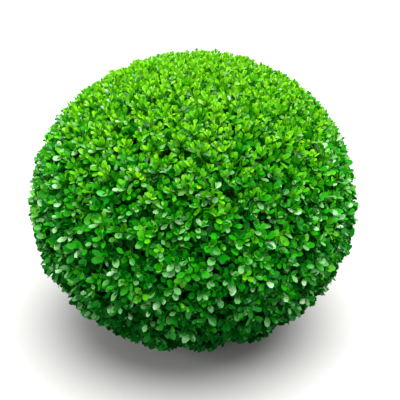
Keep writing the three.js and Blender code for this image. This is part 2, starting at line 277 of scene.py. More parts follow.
class BallSettings(bpy.types.PropertyGroup):
    """The ball that the shears left."""

    radius: length("Radius", "Half the ball's width", 0.320)
    rise: length("Rise", "From the ball's middle up to its top", 0.286)
    middle: length("Middle", "Height of the ball's middle above the ground", 0.280)
    skirt: length("Skirt", "Height of the lowest leaves above the ground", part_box(FOLIAGE_NODE)[0].z)
    wave: share("Wave", "How far hand shears stray from the true ball", 0.008)


class LimbSettings(bpy.types.PropertyGroup):
    """The bark-clad trunk and boughs."""

    trunk_height: length("Trunk height", "From the ground to where the boughs part", 0.096)
    trunk_radius: length("Trunk radius", "At the ground, without the flare", 0.023)
    trunk_top: length("Trunk top radius", "Where the boughs part", 0.020)
    flare: length("Flare", "How far the root flare stands out", 0.015)
    flare_height: length("Flare height", "How fast the root flare fades upwards", 0.015)
    lean: setting("Lean", "Sideways run for each unit of height", (0.05, -0.03), FloatVectorProperty, size=2)
    bough_reach: share("Bough reach", "Where the boughs' tips lie", 0.42)
    bough_radius: length("Bough radius", "At its foot", 0.0085)
    leader_radius: length("Leader radius", "At its foot", 0.0095)
    tip_radius: length("Tip radius", "At a bough's tip", 0.0046)
    bow: length("Bow", "How far a bough strays from its plain curve", 0.006)
    grain: length("Bark mesh", "Spacing of the bark's vertices", 0.0016)
    fissure: length("Fissure", "Depth of the splits in the bark", 0.0011)


class TwigSettings(bpy.types.PropertyGroup):
    """The twigs between the boughs and the leafy shell."""

    stub: length("Stub", "Length of the stub on a bough's tip", 0.016)
    fork: length("Fork", "How far along the stub its twigs part", 0.009)
    inner: number("Inner twigs", "Twigs from the boughs to the shell", 24)
    inner_radius: length("Inner radius", "Radius of an inner twig", 0.004)
    branchlets: number("Branchlets", "Finer twigs inside the shell", 230)
    branchlet_radius: length("Branchlet radius", "Radius of a branchlet", 0.0024)
    tufts: number("Tufts", "Twigs that carry a tuft of shoots each", 1200)
    tuft_radius: length("Tuft radius", "Radius of a tuft's twig", 0.0014)
    shoots: number("Shoots", "Leafy shoots all over, before the flanks are thinned", 6900)
    shoot_radius: length("Shoot radius", "Radius of a leafy shoot", 0.0007)
    fan: angle("Fan", "How far a tuft's outer shoots lean out", 28)
    spread: length("Spread", "From a tuft's middle to its outer shoots", 0.0145)
    top_lift: setting("Lift on top", "How much more the crown's shoots turn up", 3.2, min=0)
    low_lift: setting("Lift below", "How much more the low shoots turn up", 0.6, min=0)
    top_valley: length("Valley on top", "How far back shoots between tufts end on the crown", 0.008)
    low_valley: length("Valley below", "How far back shoots between tufts end low down", 0.0125)
    unevenness: length("Unevenness", "How far back a tuft, or one shoot of it, may end", 0.004)


class LeafSettings(bpy.types.PropertyGroup):
    """The small oval leaves, in crossed pairs."""

    top_length: length("Length on top", "Leaf length at the top of the ball", 0.0138)
    low_length: length("Length below", "Leaf length low on the ball", 0.0186)
    top_slimness: setting("Slimness on top", "Length over width at the top", 1.95, min=0.5)
    low_slimness: setting("Slimness below", "Length over width low on the ball", 1.70, min=0.5)
    cup: share("Cup", "How far its sides curl up, as a share of its width", 0.12)
    curl: share("Curl", "How far a low leaf's tip turns up, as a share of its length", 0.22)
    # Shares of the sky-facing leaves that take the painted sheen of the sky's reflection
    top_painted_sheen: share("Pale leaves on top", "Share of the crown's leaves facing the sky that look pale", 0.48)
    low_painted_sheen: share("Pale leaves below", "Share of the low leaves facing the sky that look pale", 0.56)


class ColourSettings(bpy.types.PropertyGroup):
    """The plant's colours."""

    # The lime green is partly the young leaves' own colour, partly painted light that stands in for light
    # shining through them
    lime: colour("Lime leaf", "The newest leaves", 0x7CCE12)
    fresh: colour("Fresh leaf", "Leaves of this spring", 0x4CAE0C)
    bright: colour("Bright leaf", "Leaves in good light", 0x1C8E06)
    mature: colour("Mature leaf", "Last year's leaves", 0x046E0A)
    deep: colour("Deep leaf", "Old leaves in the shade", 0x014A0A)
    # A lighter green that paints the sky's reflection on glossy leaves facing up: painted sheen, not the
    # leaf's own colour
    pale: colour("Pale leaf", "Leaves that look pale against the sky", 0x60A456)
    stem: colour("Green stem", "The young shoots", 0x4C8A1C)
    twig: colour("Twig", "Twigs of two years and more", 0x38371C)
    bark: colour("Bark plate", "The dry corky plates", 0x9C8B6E)
    split: colour("Bark split", "The splits between the plates", 0x4A3D2C)


class StageSettings(bpy.types.PropertyGroup):
    """The studio round the ball."""

    elevation: angle("Camera elevation", "How far above level the camera looks down from", 27)
    distance: length("Camera distance", "From the ball's middle", 1.5)
    half_view: setting("Half view", "Tangent of half the camera's field of view", 0.2620)
    sideways: setting("Sideways", "How far right of the ball the camera aims, over distance", 0.0079)
    upwards: setting("Upwards", "How far above the ball the camera aims, over distance", -0.0001)
    floor: colour("Floor", "The pale studio floor", 0xBEBEBC)
    flat_floor: length("Flat floor", "Radius of the flat part of the floor", 20)
    wide_floor: length("Wide floor", "Radius of the whole floor, with its far part that sweeps up", 80)
    floor_rise: length("Floor rise", "How high the floor sweeps up at its far edge", 8)
    key: setting("Key light", "The wide far light above, in watts per square metre", 6.4, min=0)
    key_width: angle("Key width", "How wide the key light looks from the ball", 60)
    fill: setting("Fill light", "Each side light, before its own share", 15, min=0, unit="POWER")
    air: setting("Air", "Strength of the light from all round", 0.48, min=0)


class TopiarySettings(bpy.types.PropertyGroup):
    """All that a user may change."""

    ball: PointerProperty(type=BallSettings)
    limbs: PointerProperty(type=LimbSettings)
    twigs: PointerProperty(type=TwigSettings)
    leaves: PointerProperty(type=LeafSettings)
    colours: PointerProperty(type=ColourSettings)
    stage: PointerProperty(type=StageSettings)


# The rule that the frame's solids grew by

def scatter(index, trait, step=0):
    """Numbers between -1 and 1 that look random and are always the same for the same index and trait."""
    wave = 43758.5453 * np.sin(12.9898 * np.asarray(index, float) + 78.233 * (DRAWS[trait] + step))
    return 2 * (wave - np.floor(wave)) - 1


def chance(index, trait):
    """The same scatter as numbers between 0 and 1."""
    return 0.5 + 0.5 * scatter(index, trait)


def scatter_vectors(index, trait):
    return np.stack([scatter(index, trait, step) for step in range(3)], axis=-1)


def unit(vectors):
    return vectors / np.linalg.norm(vectors, axis=-1, keepdims=True)


def dot(a, b):
    return np.sum(a * b, axis=-1, keepdims=True)


def mix(a, b, share_of_b):
    return a + (b - a) * share_of_b


def angles_round(sides):
    return np.arange(sides) * 2 * math.pi / sides


def semi_axes(ball):
    return np.array((ball.radius, ball.radius, ball.rise))


def centre(ball):
    return ball.middle * UP


def shearing(ball, d):
    """The slow waves that hand shears leave in the ball, for directions from its centre."""
    across = np.sin(5 * d[..., 0] + 2 * d[..., 1] + 0.7)
    slanting = np.sin(4 * d[..., 1] - 3 * d[..., 2] + 2.1)
    rising = np.sin(3 * d[..., 0] + 6 * d[..., 2])
    return (1 + ball.wave * (across + slanting + rising) / 2)[..., None]


def point_at(ball, direction, share_out):
    """Points in given directions from the centre, at a share of the way to the clipped surface."""
    return direction * semi_axes(ball) * share_out * shearing(ball, direction) + centre(ball)


def share_of(ball, points):
    """How far out points lie: 1 on the clipped surface, less inside it."""
    scaled = (points - centre(ball)) / semi_axes(ball)
    far = np.linalg.norm(scaled, axis=-1, keepdims=True)
    return (far / shearing(ball, scaled / far))[..., 0]


def even_directions(count, lowest):
    """Directions spread evenly by the golden angle, from the top down to a lowest level."""
    i = np.arange(count)
    z = 1 - (i + 0.5) / count * (1 - lowest)
    across = np.sqrt(1 - z * z)
    return np.stack([across * np.cos(i * GOLDEN_ANGLE), across * np.sin(i * GOLDEN_ANGLE), z], axis=-1)


def growing_axes(ball, directions, lift):
    """Which way sprigs grow: out from the clipped surface, and a little up."""
    outward = unit(directions / semi_axes(ball))
    rise = lift * np.sqrt(1 + directions[:, 2:])
    stray = scatter_vectors(np.arange(len(directions)), "shoot_axis")
    return unit(outward + UP * rise + stray * AXIS_TILT)


def curve_points(curves, t):
    """Points on quadratic curves, each given by its start, bend and end. t has a row for each curve."""
    start, bend, end = (corner[:, None] for corner in curves)
    t = t[..., None]
    return (1 - t) ** 2 * start + 2 * (1 - t) * t * bend + t ** 2 * end


def curve_headings(curves, t):
    start, bend, end = (corner[:, None] for corner in curves)
    t = t[..., None]
    return unit((1 - t) * (bend - start) + t * (end - bend))


# The limbs

def trunk_path(limbs, t):
    height = np.asarray(t, float)[..., None] * limbs.trunk_height
    return height * np.array((limbs.lean[0], limbs.lean[1], 1.0))


def leader_path(ball, limbs, t):
    """The leader's middle line, which snakes a little on its way up."""
    foot = trunk_path(limbs, LEADER_FOOT / limbs.trunk_height)
    tip = point_at(ball, UP, limbs.bough_reach)
    sway = np.sin(LEADER_SWAY_TURN * t)[:, None] * np.array(LEADER_SWAY)
    return mix(foot, tip, t[:, None]) + limbs.bow * sway


def side_bough_path(ball, limbs, i, t):
    """The middle line of side bough i: out from the trunk's middle, then up or down to its tip."""
    kind = HIGH_BOUGH if i % 2 else LOW_BOUGH
    turn = (i + BOUGH_STRAY * scatter(i, "bough_turn")) / SIDE_BOUGHS * 2 * math.pi
    across = math.sqrt(1 - kind["climb"] ** 2)
    heading = np.array((across * math.cos(turn), across * math.sin(turn), kind["climb"]))
    foot = trunk_path(limbs, kind["foot"] / limbs.trunk_height)
    tip = point_at(ball, heading, limbs.bough_reach)
    bend = mix(foot, tip, BOUGH_BEND["out"])
    bend[2] = mix(foot[2], tip[2], BOUGH_BEND["up"])
    curve = curve_points([corner[None] for corner in (foot, bend, tip)], t[None])[0]
    sideways = np.array((-math.sin(turn), math.cos(turn), 0.0))
    bow = limbs.bow * scatter(i, "bough_bow")
    return curve + bow * np.sin(2 * math.pi * t)[:, None] * sideways


def bough_path(ball, limbs, i, t):
    """Bough 0 is the leader."""
    if i == 0:
        return leader_path(ball, limbs, t)
    return side_bough_path(ball, limbs, i, t)


def rings_round(paths, radii, sides):
    """Rings of points round many paths at once, without twist: paths are (limbs, steps, 3)."""
    along = unit(np.gradient(paths, axis=1))
    first = np.where(np.abs(along[:, 0, 2:]) > UPRIGHT, X_AXIS, UP)
    side = np.empty_like(paths)
    for step in range(paths.shape[1]):
        first = unit(first - dot(first, along[:, step]) * along[:, step])
        side[:, step] = first
    other = np.cross(side, along)
    turn = angles_round(sides)
    ring = side[:, :, None] * np.cos(turn)[:, None] + other[:, :, None] * np.sin(turn)[:, None]
    return paths[:, :, None] + ring * radii[..., None, None]


def skin(rings):
    """Closed skins over rings of points, (limbs, steps, sides, 3): vertices, triangles and quads."""
    limbs, steps, sides = rings.shape[:3]
    caps = rings[:, [0, -1]].mean(axis=2)
    vertices = np.concatenate([rings.reshape(limbs, -1, 3), caps], axis=1)
    side = np.arange(sides)
    following = (side + 1) % sides
    first = (np.arange(steps - 1) * sides)[:, None]
    quads = np.stack([first + side, first + following, first + sides + following, first + sides + side], -1)
    last = (steps - 1) * sides
    foot_cap = np.stack([following, side, np.full(sides, steps * sides)], -1)
    tip_cap = np.stack([last + side, last + following, np.full(sides, steps * sides + 1)], -1)
    offset = (np.arange(limbs) * vertices.shape[1])[:, None, None]
    triangles = np.concatenate([foot_cap, tip_cap])[None] + offset
    quads = quads.reshape(1, -1, 4) + offset
    return vertices.reshape(-1, 3), triangles.reshape(-1, 3), quads.reshape(-1, 4)


def joined(skins):
    """Several skins as one: vertices, triangles and quads."""
    vertices, triangles, quads = zip(*skins)
    starts = np.cumsum([0] + [len(part) for part in vertices])
    faces = (
        np.concatenate([part + start for part, start in zip(kind, starts)]) for kind in (triangles, quads)
    )
    return np.concatenate(vertices), *faces


def trunk_rings(limbs):
    """The trunk's level rings, with its taper, root flare and shoulder."""
    t = np.linspace(0, 1, TRUNK_RINGS)
    turn = angles_round(TRUNK_SIDES)
    taper = mix(limbs.trunk_radius, limbs.trunk_top, t) * np.where(t == 1, TRUNK_SHOULDER, 1)
    lobes = 1 - FLARE_LOBE_DEPTH * (1 - np.cos(FLARE_LOBES * turn + FLARE_TURN))
    fading = np.exp(-t * limbs.trunk_height / limbs.flare_height)
    radius = taper[:, None] + limbs.flare * fading[:, None] * lobes
    ring = np.stack([np.cos(turn), np.sin(turn), np.zeros(TRUNK_SIDES)], axis=-1)
    return trunk_path(limbs, t)[:, None] + ring * radius[..., None]


def limb_lines(ball, limbs):
    """The middle lines of all the limbs, the trunk's first, with their radii: (limbs, steps, 3)."""
    t = np.linspace(0, 1, BOUGH_STEPS)
    boughs = [bough_path(ball, limbs, i, t) for i in range(SIDE_BOUGHS + 1)]
    starts = [limbs.leader_radius] + [limbs.bough_radius] * SIDE_BOUGHS
    radii = [mix(start, limbs.tip_radius, t ** BOUGH_TAPER) for start in starts]
    trunk_radii = mix(limbs.trunk_radius, limbs.trunk_top, t)
    return np.stack([trunk_path(limbs, t)] + boughs), np.stack([trunk_radii] + radii)


# The twigs

def nearest(points, others):
    """For each point, the index of the nearest of the others."""
    tree = kdtree.KDTree(len(others))
    for i, other in enumerate(others):
        tree.insert(other, i)
    tree.balance()
    return np.array([tree.find(point)[1] for point in points])


def led_on(start, heading, targets):
    """Curves from starts to targets that set off in given directions."""
    lead = TWIG_BEND * np.linalg.norm(targets - start, axis=-1, keepdims=True)
    return start, mix(start + heading * lead, targets, TWIG_BEND), targets


def inner_twigs(ball, limbs, twigs):
    """The curves of the stubs on the boughs' tips, and of the twigs that part from them to the shell."""
    t = np.array(BOUGH_TIP)
    ends = np.stack([bough_path(ball, limbs, i, t) for i in range(SIDE_BOUGHS + 1)])
    tips = ends[:, 1]
    headings = unit(ends[:, 1] - ends[:, 0])
    stub_ends = tips + headings * twigs.stub
    stubs = (tips, mix(tips, stub_ends, 0.5), stub_ends)
    forks = tips + headings * twigs.fork
    targets = point_at(ball, even_directions(twigs.inner, INNER["lowest"]), INNER["end"])
    parent = nearest(targets, forks)
    return stubs, led_on(forks[parent], headings[parent], targets)


def forked(parents, targets, lowest_fork):
    """Curves from the nearest parents to the targets, each leaving its parent in the parent's direction."""
    parent = nearest(targets, parents[2])
    own = [corner[parent] for corner in parents]
    along = mix(1, lowest_fork, chance(np.arange(len(targets)), "twig_fork"))[:, None]
    return led_on(curve_points(own, along)[:, 0], curve_headings(own, along)[:, 0], targets)


def tuft_directions(twigs):
    even = even_directions(twigs.tufts, TUFTS["lowest"])
    stray = scatter_vectors(np.arange(twigs.tufts), "tuft_place")
    return unit(even + stray * TUFT_SHIFT)


def all_twigs(ball, limbs, twigs):
    """The curves of every order of brown twig: stubs, inner twigs, branchlets and tuft twigs."""
    stubs, inner = inner_twigs(ball, limbs, twigs)
    ends = point_at(ball, even_directions(twigs.branchlets, BRANCHLETS["lowest"]), BRANCHLETS["end"])
    branchlets = forked(inner, ends, BRANCHLETS["fork"])
    directions = tuft_directions(twigs)
    depth = TUFTS["end"] + TUFT_END_STRAY * scatter(np.arange(twigs.tufts), "tuft_depth")
    tuft_twigs = forked(branchlets, point_at(ball, directions, depth[:, None]), TUFTS["fork"])
    return stubs, inner, branchlets, tuft_twigs


# The leaves

def leaf_pattern():
    """How far across a low and a top leaf and how far along each point lies, with its triangles and quads."""
    across = [(0.0, 0.0)]
    along = [0.0]
    for place, *widths in LEAF_ROWS:
        middle = 1.0 if place == LEAF_ROWS[-1][0] else place
        across += [tuple(side * width for width in widths) for side in (-1, 0, 1)]
        along += [place, middle, place]
    triangles = [(0, 2, 1), (0, 3, 2)]
    quads = []
    for row in range(len(LEAF_ROWS) - 1):
        left = 1 + 3 * row
        quads += [(left, left + 1, left + 4, left + 3), (left + 1, left + 2, left + 5, left + 4)]
    return np.array(across).T, np.array(along), np.array(triangles), np.array(quads)


def leaf_points(leaves, foot, heading, face, size, slimness, crown):
    """Every point of many leaves: from foot out along heading, with the upper side towards face."""
    (low_across, top_across), along, _, _ = leaf_pattern()
    across = mix(low_across, top_across, crown[..., 0])
    curl = leaves.curl * (1 - crown)
    side = np.cross(heading, face)
    size = size[..., None, None]
    width = size / slimness / 2
    rise = leaves.cup * 2 * width * across[..., None] ** 2 + curl * size * along[:, None] ** 2
    outward = heading[..., None, :] * along[:, None] * size
    sideways = side[..., None, :] * across[..., None] * width
    return foot[..., None, :] + outward + sideways + face[..., None, :] * rise


def paired_leaves(leaves, feet, axes, spin, openings, sizes, slimness, crown):
    """Crossed pairs of leaves on nodes, (stems, nodes, 3): headings and faces are worked out from the axes.

    Returns the leaves' points, (stems, nodes, 2, points, 3).
    """
    slimness, crown = (np.reshape(value, (-1, 1, 1, 1, 1)) for value in (slimness, crown))
    stems, nodes = feet.shape[:2]
    index = np.arange(stems * nodes * 2).reshape(stems, nodes, 2)
    level = np.where(np.abs(axes[..., :1]) > LEVEL_STEM, np.array((0.0, 1.0, 0.0)), X_AXIS)
    first = unit(np.cross(level, axes))[:, :, None]
    second = np.cross(axes, first[:, :, 0])[:, :, None]
    turn = spin[:, None, None] + np.arange(nodes)[:, None] * math.pi / 2 + np.arange(2) * math.pi
    turn = (turn + LEAF_STRAY["turn"] * scatter(index, "leaf_turn"))[..., None]
    outward = first * np.cos(turn) + second * np.sin(turn)
    lax = math.radians(LAX_OPENING) * (scatter(index, "leaf_lax") > LAX_FROM)
    stray = math.radians(LEAF_STRAY["opening"]) * scatter(index, "leaf_opening")
    opening = (openings[..., None] + stray + lax)[..., None]
    axis = axes[:, :, None]
    heading = axis * np.cos(opening) + outward * np.sin(opening)
    face = axis * np.sin(opening) - outward * np.cos(opening)
    roll = (math.radians(LEAF_STRAY["roll"]) * scatter(index, "leaf_roll"))[..., None]
    face = unit(face * np.cos(roll) + np.cross(heading, face) * np.sin(roll))
    size = sizes[..., None] * (1 + LEAF_STRAY["length"] * scatter(index, "leaf_length"))
    feet = np.broadcast_to(feet[:, :, None], heading.shape)
    slimness = slimness * (1 + LEAF_STRAY["slimness"] * scatter(index, "leaf_slimness"))[..., None, None]
    return leaf_points(leaves, feet, heading, face, size, slimness, crown)


def crown_share(directions):
    """0 on the ball's flanks and foot, up to 1 on its crown, where the shoots stand upright and tight."""
    return np.clip((directions[:, 2] - CROWN_FOOT) / (CROWN_TOP - CROWN_FOOT), 0, 1)


def shoot_directions(twigs):
    """Where the leafy shoots stand, even all over but closest at the very top."""
    even = even_directions(twigs.shoots, TUFTS["lowest"])
    i = np.arange(twigs.shoots)
    directions = unit(even + scatter_vectors(i, "shoot_place") * SHOOT_SHIFT)
    kept = mix(FLANK_SHOOTS, 1, crown_share(directions) ** CROWN_EASE)
    return directions[chance(i, "shoot_kept") < kept]


def foot_notches(directions):
    """How far the ragged foot of the ball falls short of the clipped surface, as a share of the ball."""
    low = np.clip((FOOT_LEVEL - directions[:, 2]) / FOOT_FADE, 0, 1)
    turn = np.arctan2(directions[:, 1], directions[:, 0])
    waves = sum(strength * np.sin(count * turn + start) for strength, count, start in FOOT_WAVES)
    return FOOT_NOTCH * low * np.clip(waves + FOOT_WAVE_RAISE, 0, FOOT_WAVE_CAP)


def fullness(directions):
    """How much further out the shoots end towards each uneven side, as a share of the ball."""
    return sum(
        more * np.clip(directions @ np.array(side), 0, 1) ** UNEVEN_FOCUS for side, more in UNEVEN_SIDES
    )


def shoot_axes(settings, directions, crown, aside):
    """Which way each shoot grows: out, up towards the light, and away from its tuft's middle."""
    twigs = settings.twigs
    lift = mix(twigs.low_lift, twigs.top_lift, crown[:, None])
    axis = growing_axes(settings.ball, directions, AXIS_LIFT) + UP * lift
    stray = SHOOT_TILT * scatter_vectors(np.arange(len(directions)), "shoot_tilt")
    return unit(unit(axis) + aside * math.tan(twigs.fan) + stray)


def shoot_limits(settings, directions, crown, tuft, far):
    """How far out the outermost leaf of each shoot ends, as a share of the ball."""
    twigs = settings.twigs
    i = np.arange(len(directions))
    uneven = 1 - VALLEY_STRAY + VALLEY_STRAY * scatter(i, "valley")
    behind = mix(twigs.low_valley, twigs.top_valley, crown) * far ** 2 * uneven
    short = chance(tuft, "tuft_short") ** 2 + chance(i, "shoot_short") ** 2
    behind = behind + twigs.unevenness * short
    limit = REACH + REACH_SPREAD * scatter(i, "shoot_reach") - behind / settings.ball.radius
    return limit + fullness(directions) - foot_notches(directions)


def leaf_sizes(leaves, directions, crown):
    """How long the leaves of each shoot's pairs are, (shoots, pairs)."""
    i = np.arange(len(directions))
    stray = mix(LENGTH_STRAY["low"], LENGTH_STRAY["top"], crown) * scatter(i, "shoot_length")
    size = mix(leaves.low_length, leaves.top_length, crown ** CROWN_EASE) * (1 + stray)
    size = size * (1 + FOOT_GROWTH * np.clip(-directions[:, 2], 0, 1))
    return size[:, None] * mix(np.array(LOW_DOWN["sizes"]), np.array(ON_TOP["sizes"]), crown[:, None])


def leafy_shoots(settings, tuft_twigs):
    """The curves of all leafy shoots, the points of their leaves, (shoots, pairs, 2, points, 3), and what the
    leaves' tones go by."""
    ball, twigs, leaves = settings.ball, settings.twigs, settings.leaves
    directions = shoot_directions(twigs)
    i = np.arange(len(directions))
    crown = crown_share(directions)
    tops = point_at(ball, tuft_directions(twigs), 1)
    surface = point_at(ball, directions, 1)
    tuft = nearest(surface, tops)
    aside = (surface - tops[tuft]) / twigs.spread
    far = np.minimum(np.linalg.norm(aside, axis=-1), TUFT_EDGE)

    axis = shoot_axes(settings, directions, crown, aside)
    limit = shoot_limits(settings, directions, crown, tuft, far)
    sizes = leaf_sizes(leaves, directions, crown)
    low_openings, top_openings = np.radians(LOW_DOWN["openings"]), np.radians(ON_TOP["openings"])
    openings = mix(low_openings, top_openings, crown[:, None])
    slimness = mix(leaves.low_slimness, leaves.top_slimness, crown)
    spin = scatter(i, "shoot_spin") * math.pi

    foot = tuft_twigs[2][tuft]
    tip = point_at(ball, directions, FIRST_TIP)
    facing = np.clip(dot(axis, unit(directions / semi_axes(ball))), LEAST_FACING, 1)
    for _ in range(SETTLING_ROUNDS):
        run = np.linalg.norm(tip - foot, axis=-1, keepdims=True)
        curves = (foot, tip - axis * run * SHOOT_BEND, tip)
        t = 1 - np.array(PAIR_BACKS) / np.maximum(run, SHORTEST_SHOOT)
        axes = curve_headings(curves, t)
        points = paired_leaves(leaves, curve_points(curves, t), axes, spin, openings, sizes, slimness, crown)
        outermost = share_of(ball, points).reshape(len(i), -1).max(axis=1)
        tip = tip - axis * (outermost - limit)[:, None] * ball.radius / facing
    side, level = directions[:, 0], directions[:, 2]
    return curves, points, {"tuft": tuft, "far": far, "side": side, "level": level, "crown": crown}


def old_leaves(leaves, twigs, places, growth):
    """The points of the older leaves further in, at places along twigs: (leaves, points, 3)."""
    shape = (len(twigs[0]), len(places))
    t = np.broadcast_to(np.array(places), shape)
    feet = curve_points(twigs, t)
    axes = curve_headings(twigs, t)
    spin = scatter(np.arange(shape[0]), "old_spin") * math.pi
    sizes = np.full(shape, growth * leaves.low_length)
    openings = np.full(shape, math.radians(OLD_OPENING))
    points = paired_leaves(leaves, feet, axes, spin, openings, sizes, OLD_SLIMNESS, 0.0)
    return points.reshape(-1, *points.shape[-2:])


def leaf_faces(points):
    """Which way the upper side of each leaf faces."""
    (across, _), along, _, _ = leaf_pattern()
    right, left, tip = across.argmax(), across.argmin(), along.argmax()
    across_leaf = points[..., right, :] - points[..., left, :]
    return unit(np.cross(across_leaf, points[..., tip, :] - points[..., 0, :]))


def leaf_tones(settings, shoots, points):
    """Which finish each leaf of the shoots takes, dealt out by tuft, shoot and pair, with painted light and
    shade by height, side and facing: (shoots, pairs, 2).
    """
    shape = points.shape[:3]
    rank = np.arange(shape[1])
    index = np.arange(np.prod(shape)).reshape(shape)
    i = np.arange(shape[0])
    level, side, crown = shoots["level"], shoots["side"], shoots["crown"]
    # Partly real age, partly painted light and shade: leaves lighter towards the top, darker at the foot and
    # away from a tuft's middle
    shoot = YOUTH + YOUTH_AND_LIGHT_BY_LEVEL * level + YOUTH_AND_LIGHT_AT_ENDS * level * np.abs(level) - AGE_AND_SHADE_ASIDE * shoots["far"]
    # Painted light: lighter leaves on the sides that the sun and a side lamp light
    shoot = shoot + SUNNY_SIDE_PAINTED_LIGHT * np.maximum(side, 0) + OPEN_SIDE_PAINTED_LIGHT * np.maximum(-side, 0)
    shoot = shoot - FOOT_AGE_AND_SHADE * np.clip(FOOT_AGE_AND_SHADE_LEVEL - level, 0, FOOT_AGE_AND_SHADE_CAP)
    stray = SHOOT_TONES * (1 - CROWN_CALM["shoots"] * crown) * scatter(i, "shoot_tone") ** 3
    shoot = shoot + TUFT_TONES * scatter(shoots["tuft"], "tuft_tone") + stray
    older = PAIR_AGE * rank * (1 - CROWN_CALM["pairs"] * crown[:, None]) - TIP_YOUTH * (rank == 0)
    youth_and_light = (shoot[:, None] - older)[..., None] + LEAF_TONES * scatter(index, "leaf_tone")
    cap = mix(YOUTH_CAP["low"], YOUTH_CAP["top"], crown ** YOUTH_CAP_EASE)
    tones = np.digitize(np.minimum(youth_and_light, cap[:, None, None]), FINISH_YOUTHS)
    up = leaf_faces(points)[..., 2]
    tones = np.where((up > WAXED_FACE_LEVEL) & np.isin(tones, DULL_FINISHES), tones + WAXED_STEP, tones)
    # Painted sheen: leaves facing up take the pale finish, whose lighter green paints the sky's reflection,
    # more of them low down
    pale = mix(settings.leaves.low_painted_sheen, settings.leaves.top_painted_sheen, crown)
    pale = (pale * (1 + FOOT_PAINTED_SHEEN * np.clip(-level, 0, FOOT_PAINTED_SHEEN_CAP)))[:, None, None]
    least, most = PAINTED_SHEEN_FACE_LEVELS
    pale = pale * np.clip((up - least) / (most - least), 0, 1)
    return np.where(chance(index, "leaf_painted_sheen") < pale, PAINTED_SHEEN_FINISH, tones)


# Making the pieces

def mesh_of(name, vertices, triangles, quads):
    """A smooth-shaded mesh from arrays."""
    mesh = bpy.data.meshes.new(name)
    corners = np.concatenate([triangles.ravel(), quads.ravel()]).astype(np.int32)
    sizes = np.concatenate([np.full(len(triangles), 3), np.full(len(quads), 4)]).astype(np.int32)
    mesh.vertices.add(len(vertices))
    mesh.vertices.foreach_set("co", vertices.astype(np.float32).ravel())
    mesh.loops.add(len(corners))
    mesh.loops.foreach_set("vertex_index", corners)
    mesh.polygons.add(len(sizes))
    mesh.polygons.foreach_set("loop_start", (np.cumsum(sizes) - sizes).astype(np.int32))
    mesh.polygons.foreach_set("use_smooth", np.ones(len(sizes), bool))
    mesh.update(calc_edges=True)
    if mesh.validate():
        raise RuntimeError(f"{name}: the mesh had faulty faces")
    return mesh


def add_object(name, data):
    thing = bpy.data.objects.new(name, data)
    bpy.context.scene.collection.objects.link(thing)
    return thing


def add_piece(name, mesh, material, nodes):
    """Puts a mesh in the scene as a piece that rides on the plant's body and stands for CAD nodes."""
    piece = add_object(name, mesh)
    mesh.materials.append(material)
    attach(piece, BODY)
    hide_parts(*nodes)


def add_leaves(name, points, material):
    """Leaves of one colour, as few pieces as the limit on triangles allows."""
    _, _, triangles, quads = leaf_pattern()
    faces = len(triangles) + 2 * len(quads)
    parts = math.ceil(len(points) * faces / LARGEST_PIECE)
    for part, chunk in enumerate(np.array_split(points, parts), start=1):
        offset = (np.arange(len(chunk)) * chunk.shape[1])[:, None, None]
        faces_of_chunk = ((triangles + offset).reshape(-1, 3), (quads + offset).reshape(-1, 4))
        mesh = mesh_of(name, chunk.reshape(-1, 3), *faces_of_chunk)
        add_piece(f"{name}_{part}", mesh, material, [FOLIAGE_NODE])


def add_twigs(name, bundles, material):
    """Round twigs along bundles of curves: each bundle is (curves, radius at the foot, form)."""
    skins = []
    for curves, foot_radius, (taper, sides, steps) in bundles:
        t = np.broadcast_to(np.linspace(0, 1, steps), (len(curves[0]), steps))
        radii = mix(foot_radius, foot_radius * taper, t)
        skins.append(skin(rings_round(curve_points(curves, t), radii, sides)))
    add_piece(name, mesh_of(name, *joined(skins)), material, [FOLIAGE_NODE])


# Finishes

def add_node(tree, kind, settings=None, inputs=None):
    """Adds a node with its settings, and gives its inputs values or joins them to other nodes' outputs."""
    node = tree.nodes.new(kind)
    for name, value in (settings or {}).items():
        setattr(node, name, value)
    for name, value in (inputs or {}).items():
        if isinstance(value, bpy.types.NodeSocket):
            tree.links.new(value, node.inputs[name])
        else:
            node.inputs[name].default_value = value
    return node


def new_material(name):
    material = bpy.data.materials.new(name)
    material.use_nodes = True
    material.node_tree.nodes.clear()
    return material


def add_surface(tree, place, grain, inputs):
    """Ends a material in a surface with these inputs and the fine relief of its grain."""
    grit = add_node(tree, "ShaderNodeTexNoise", inputs={
        "Vector": place.outputs["Object"], "Scale": 1 / grain["spacing"], "Detail": grain["detail"],
    })
    relief = add_node(tree, "ShaderNodeBump", inputs={
        "Height": grit.outputs["Fac"], "Strength": grain["strength"], "Distance": grain["depth"],
    })
    surface = add_node(
        tree, "ShaderNodeBsdfPrincipled", inputs={**inputs, "Normal": relief.outputs["Normal"]}
    )
    add_node(tree, "ShaderNodeOutputMaterial", inputs={"Surface": surface.outputs["BSDF"]})


def even_material(name, grain, inputs):
    """A material of one even colour with a fine relief."""
    material = new_material(name)
    place = add_node(material.node_tree, "ShaderNodeTexCoord")
    add_surface(material.node_tree, place, grain, inputs)
    return material


def waxed_leaf(name, leaf_colour, roughness, gloss):
    """A box leaf: a thick blade grown under a film of wax. The wax gives the eye a soft pale gloss over an
    even green, and its fine puckers break that gloss up. They are about 0.8 mm apart in life, and drawn at
    2.5 mm to show."""
    return even_material(name, LEAF_PUCKERS, {
        "Base Color": (*leaf_colour, 1.0), "Roughness": roughness, "IOR": WAX_IOR,
        "Specular IOR Level": gloss,
    })


def smooth_twig(name, twig_colour, roughness):
    """Young box wood: grown smooth and ridged lengthwise, so the eye sees an even dull colour with faint
    streaks. They are about 0.5 mm apart in life, and drawn at 1.5 mm to show."""
    return even_material(name, TWIG_STREAKS, {
        "Base Color": (*twig_colour, 1.0), "Roughness": roughness, "IOR": WOOD_IOR,
    })


